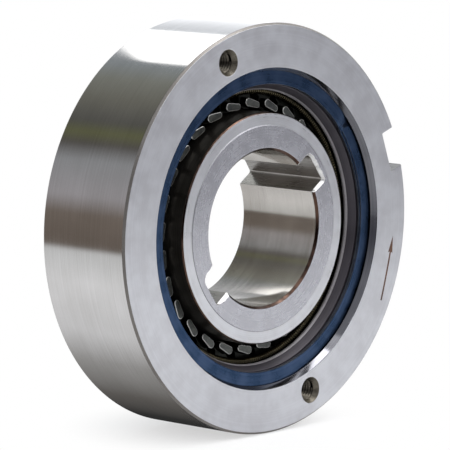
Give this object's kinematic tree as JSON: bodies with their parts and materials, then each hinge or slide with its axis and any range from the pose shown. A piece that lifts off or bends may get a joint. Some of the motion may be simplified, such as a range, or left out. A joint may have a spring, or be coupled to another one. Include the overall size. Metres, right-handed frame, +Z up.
{
  "type": "sprag clutch",
  "caption": "One-way clutch ring: a keyed inner race and a slotted outer race with a full ring of spring-held sprags between them.",
  "frame": {"origin": "on the bore's axis, in the middle plane of the outer race", "axes": "+Y along the bore towards the back, -Y is the front with the tapped holes, +Z up; the housing key slot is 19.6 degrees above +X"},
  "size_m": [0.15, 0.041, 0.15],
  "materials": {
    "ground_race_steel": "ground and satin",
    "bore_race_steel": "fine turned",
    "dark_washer_steel": "dark oxide",
    "blued_ring_steel": "blued spring steel",
    "coil_spring_steel": "oil-tempered wire",
    "sprag_steel": "drawn and hardened"
  },
  "bodies": {
    "shaft_side": {"inner_race": "bore_race_steel"},
    "housing_side": {"outer_race": "ground_race_steel", "end_washer_front": "dark_washer_steel", "end_washer_back": "dark_washer_steel", "retaining_ring_front": "blued_ring_steel", "retaining_ring_back": "blued_ring_steel"},
    "spring_set": {"garter_spring_front": "coil_spring_steel", "garter_spring_back": "coil_spring_steel"},
    "sprag_01": {"sprag_01": "sprag_steel"},
    "sprag_02": {"sprag_02": "sprag_steel"},
    "sprag_03": {"sprag_03": "sprag_steel"},
    "sprag_04": {"sprag_04": "sprag_steel"},
    "sprag_05": {"sprag_05": "sprag_steel"},
    "sprag_06": {"sprag_06": "sprag_steel"},
    "sprag_07": {"sprag_07": "sprag_steel"},
    "sprag_08": {"sprag_08": "sprag_steel"},
    "sprag_09": {"sprag_09": "sprag_steel"},
    "sprag_10": {"sprag_10": "sprag_steel"},
    "sprag_11": {"sprag_11": "sprag_steel"},
    "sprag_12": {"sprag_12": "sprag_steel"},
    "sprag_13": {"sprag_13": "sprag_steel"},
    "sprag_14": {"sprag_14": "sprag_steel"},
    "sprag_15": {"sprag_15": "sprag_steel"},
    "sprag_16": {"sprag_16": "sprag_steel"},
    "sprag_17": {"sprag_17": "sprag_steel"},
    "sprag_18": {"sprag_18": "sprag_steel"},
    "sprag_19": {"sprag_19": "sprag_steel"},
    "sprag_20": {"sprag_20": "sprag_steel"},
    "sprag_21": {"sprag_21": "sprag_steel"},
    "sprag_22": {"sprag_22": "sprag_steel"},
    "sprag_23": {"sprag_23": "sprag_steel"},
    "sprag_24": {"sprag_24": "sprag_steel"},
    "sprag_25": {"sprag_25": "sprag_steel"},
    "sprag_26": {"sprag_26": "sprag_steel"},
    "sprag_27": {"sprag_27": "sprag_steel"},
    "sprag_28": {"sprag_28": "sprag_steel"}
  },
  "joints": [
    {"name": "overrun", "type": "hinge", "parent": "shaft_side", "child": "housing_side", "pos_m": [0, 0, 0], "axis": [0, -1, 0], "continuous": true},
    {"name": "sprag_set", "type": "hinge", "parent": "shaft_side", "child": "spring_set", "pos_m": [0, 0, 0], "axis": [0, -1, 0], "continuous": true},
    {"name": "sprag_01_tilt", "type": "hinge", "parent": "spring_set", "child": "sprag_01", "pos_m": [0.04715, 0, 0], "axis": [0, 1, 0], "range_deg": [0, 4]},
    {"name": "sprag_02_tilt", "type": "hinge", "parent": "spring_set", "child": "sprag_02", "pos_m": [0.04597, 0, 0.01049], "axis": [0, 1, 0], "range_deg": [0, 4]},
    {"name": "sprag_03_tilt", "type": "hinge", "parent": "spring_set", "child": "sprag_03", "pos_m": [0.04248, 0, 0.02046], "axis": [0, 1, 0], "range_deg": [0, 4]},
    {"name": "sprag_04_tilt", "type": "hinge", "parent": "spring_set", "child": "sprag_04", "pos_m": [0.03686, 0, 0.0294], "axis": [0, 1, 0], "range_deg": [0, 4]},
    {"name": "sprag_05_tilt", "type": "hinge", "parent": "spring_set", "child": "sprag_05", "pos_m": [0.0294, 0, 0.03686], "axis": [0, 1, 0], "range_deg": [0, 4]},
    {"name": "sprag_06_tilt", "type": "hinge", "parent": "spring_set", "child": "sprag_06", "pos_m": [0.02046, 0, 0.04248], "axis": [0, 1, 0], "range_deg": [0, 4]},
    {"name": "sprag_07_tilt", "type": "hinge", "parent": "spring_set", "child": "sprag_07", "pos_m": [0.01049, 0, 0.04597], "axis": [0, 1, 0], "range_deg": [0, 4]},
    {"name": "sprag_08_tilt", "type": "hinge", "parent": "spring_set", "child": "sprag_08", "pos_m": [0, 0, 0.04715], "axis": [0, 1, 0], "range_deg": [0, 4]},
    {"name": "sprag_09_tilt", "type": "hinge", "parent": "spring_set", "child": "sprag_09", "pos_m": [-0.01049, 0, 0.04597], "axis": [0, 1, 0], "range_deg": [0, 4]},
    {"name": "sprag_10_tilt", "type": "hinge", "parent": "spring_set", "child": "sprag_10", "pos_m": [-0.02046, 0, 0.04248], "axis": [0, 1, 0], "range_deg": [0, 4]},
    {"name": "sprag_11_tilt", "type": "hinge", "parent": "spring_set", "child": "sprag_11", "pos_m": [-0.0294, 0, 0.03686], "axis": [0, 1, 0], "range_deg": [0, 4]},
    {"name": "sprag_12_tilt", "type": "hinge", "parent": "spring_set", "child": "sprag_12", "pos_m": [-0.03686, 0, 0.0294], "axis": [0, 1, 0], "range_deg": [0, 4]},
    {"name": "sprag_13_tilt", "type": "hinge", "parent": "spring_set", "child": "sprag_13", "pos_m": [-0.04248, 0, 0.02046], "axis": [0, 1, 0], "range_deg": [0, 4]},
    {"name": "sprag_14_tilt", "type": "hinge", "parent": "spring_set", "child": "sprag_14", "pos_m": [-0.04597, 0, 0.01049], "axis": [0, 1, 0], "range_deg": [0, 4]},
    {"name": "sprag_15_tilt", "type": "hinge", "parent": "spring_set", "child": "sprag_15", "pos_m": [-0.04715, 0, 0], "axis": [0, 1, 0], "range_deg": [0, 4]},
    {"name": "sprag_16_tilt", "type": "hinge", "parent": "spring_set", "child": "sprag_16", "pos_m": [-0.04597, 0, -0.01049], "axis": [0, 1, 0], "range_deg": [0, 4]},
    {"name": "sprag_17_tilt", "type": "hinge", "parent": "spring_set", "child": "sprag_17", "pos_m": [-0.04248, 0, -0.02046], "axis": [0, 1, 0], "range_deg": [0, 4]},
    {"name": "sprag_18_tilt", "type": "hinge", "parent": "spring_set", "child": "sprag_18", "pos_m": [-0.03686, 0, -0.0294], "axis": [0, 1, 0], "range_deg": [0, 4]},
    {"name": "sprag_19_tilt", "type": "hinge", "parent": "spring_set", "child": "sprag_19", "pos_m": [-0.0294, 0, -0.03686], "axis": [0, 1, 0], "range_deg": [0, 4]},
    {"name": "sprag_20_tilt", "type": "hinge", "parent": "spring_set", "child": "sprag_20", "pos_m": [-0.02046, 0, -0.04248], "axis": [0, 1, 0], "range_deg": [0, 4]},
    {"name": "sprag_21_tilt", "type": "hinge", "parent": "spring_set", "child": "sprag_21", "pos_m": [-0.01049, 0, -0.04597], "axis": [0, 1, 0], "range_deg": [0, 4]},
    {"name": "sprag_22_tilt", "type": "hinge", "parent": "spring_set", "child": "sprag_22", "pos_m": [0, 0, -0.04715], "axis": [0, 1, 0], "range_deg": [0, 4]},
    {"name": "sprag_23_tilt", "type": "hinge", "parent": "spring_set", "child": "sprag_23", "pos_m": [0.01049, 0, -0.04597], "axis": [0, 1, 0], "range_deg": [0, 4]},
    {"name": "sprag_24_tilt", "type": "hinge", "parent": "spring_set", "child": "sprag_24", "pos_m": [0.02046, 0, -0.04248], "axis": [0, 1, 0], "range_deg": [0, 4]},
    {"name": "sprag_25_tilt", "type": "hinge", "parent": "spring_set", "child": "sprag_25", "pos_m": [0.0294, 0, -0.03686], "axis": [0, 1, 0], "range_deg": [0, 4]},
    {"name": "sprag_26_tilt", "type": "hinge", "parent": "spring_set", "child": "sprag_26", "pos_m": [0.03686, 0, -0.0294], "axis": [0, 1, 0], "range_deg": [0, 4]},
    {"name": "sprag_27_tilt", "type": "hinge", "parent": "spring_set", "child": "sprag_27", "pos_m": [0.04248, 0, -0.02046], "axis": [0, 1, 0], "range_deg": [0, 4]},
    {"name": "sprag_28_tilt", "type": "hinge", "parent": "spring_set", "child": "sprag_28", "pos_m": [0.04597, 0, -0.01049], "axis": [0, 1, 0], "range_deg": [0, 4]}
  ],
  "couplings": [
    {"joint": "sprag_02_tilt", "follows": "sprag_01_tilt", "ratio": 1},
    {"joint": "sprag_03_tilt", "follows": "sprag_01_tilt", "ratio": 1},
    {"joint": "sprag_04_tilt", "follows": "sprag_01_tilt", "ratio": 1},
    {"joint": "sprag_05_tilt", "follows": "sprag_01_tilt", "ratio": 1},
    {"joint": "sprag_06_tilt", "follows": "sprag_01_tilt", "ratio": 1},
    {"joint": "sprag_07_tilt", "follows": "sprag_01_tilt", "ratio": 1},
    {"joint": "sprag_08_tilt", "follows": "sprag_01_tilt", "ratio": 1},
    {"joint": "sprag_09_tilt", "follows": "sprag_01_tilt", "ratio": 1},
    {"joint": "sprag_10_tilt", "follows": "sprag_01_tilt", "ratio": 1},
    {"joint": "sprag_11_tilt", "follows": "sprag_01_tilt", "ratio": 1},
    {"joint": "sprag_12_tilt", "follows": "sprag_01_tilt", "ratio": 1},
    {"joint": "sprag_13_tilt", "follows": "sprag_01_tilt", "ratio": 1},
    {"joint": "sprag_14_tilt", "follows": "sprag_01_tilt", "ratio": 1},
    {"joint": "sprag_15_tilt", "follows": "sprag_01_tilt", "ratio": 1},
    {"joint": "sprag_16_tilt", "follows": "sprag_01_tilt", "ratio": 1},
    {"joint": "sprag_17_tilt", "follows": "sprag_01_tilt", "ratio": 1},
    {"joint": "sprag_18_tilt", "follows": "sprag_01_tilt", "ratio": 1},
    {"joint": "sprag_19_tilt", "follows": "sprag_01_tilt", "ratio": 1},
    {"joint": "sprag_20_tilt", "follows": "sprag_01_tilt", "ratio": 1},
    {"joint": "sprag_21_tilt", "follows": "sprag_01_tilt", "ratio": 1},
    {"joint": "sprag_22_tilt", "follows": "sprag_01_tilt", "ratio": 1},
    {"joint": "sprag_23_tilt", "follows": "sprag_01_tilt", "ratio": 1},
    {"joint": "sprag_24_tilt", "follows": "sprag_01_tilt", "ratio": 1},
    {"joint": "sprag_25_tilt", "follows": "sprag_01_tilt", "ratio": 1},
    {"joint": "sprag_26_tilt", "follows": "sprag_01_tilt", "ratio": 1},
    {"joint": "sprag_27_tilt", "follows": "sprag_01_tilt", "ratio": 1},
    {"joint": "sprag_28_tilt", "follows": "sprag_01_tilt", "ratio": 1}
  ]
}
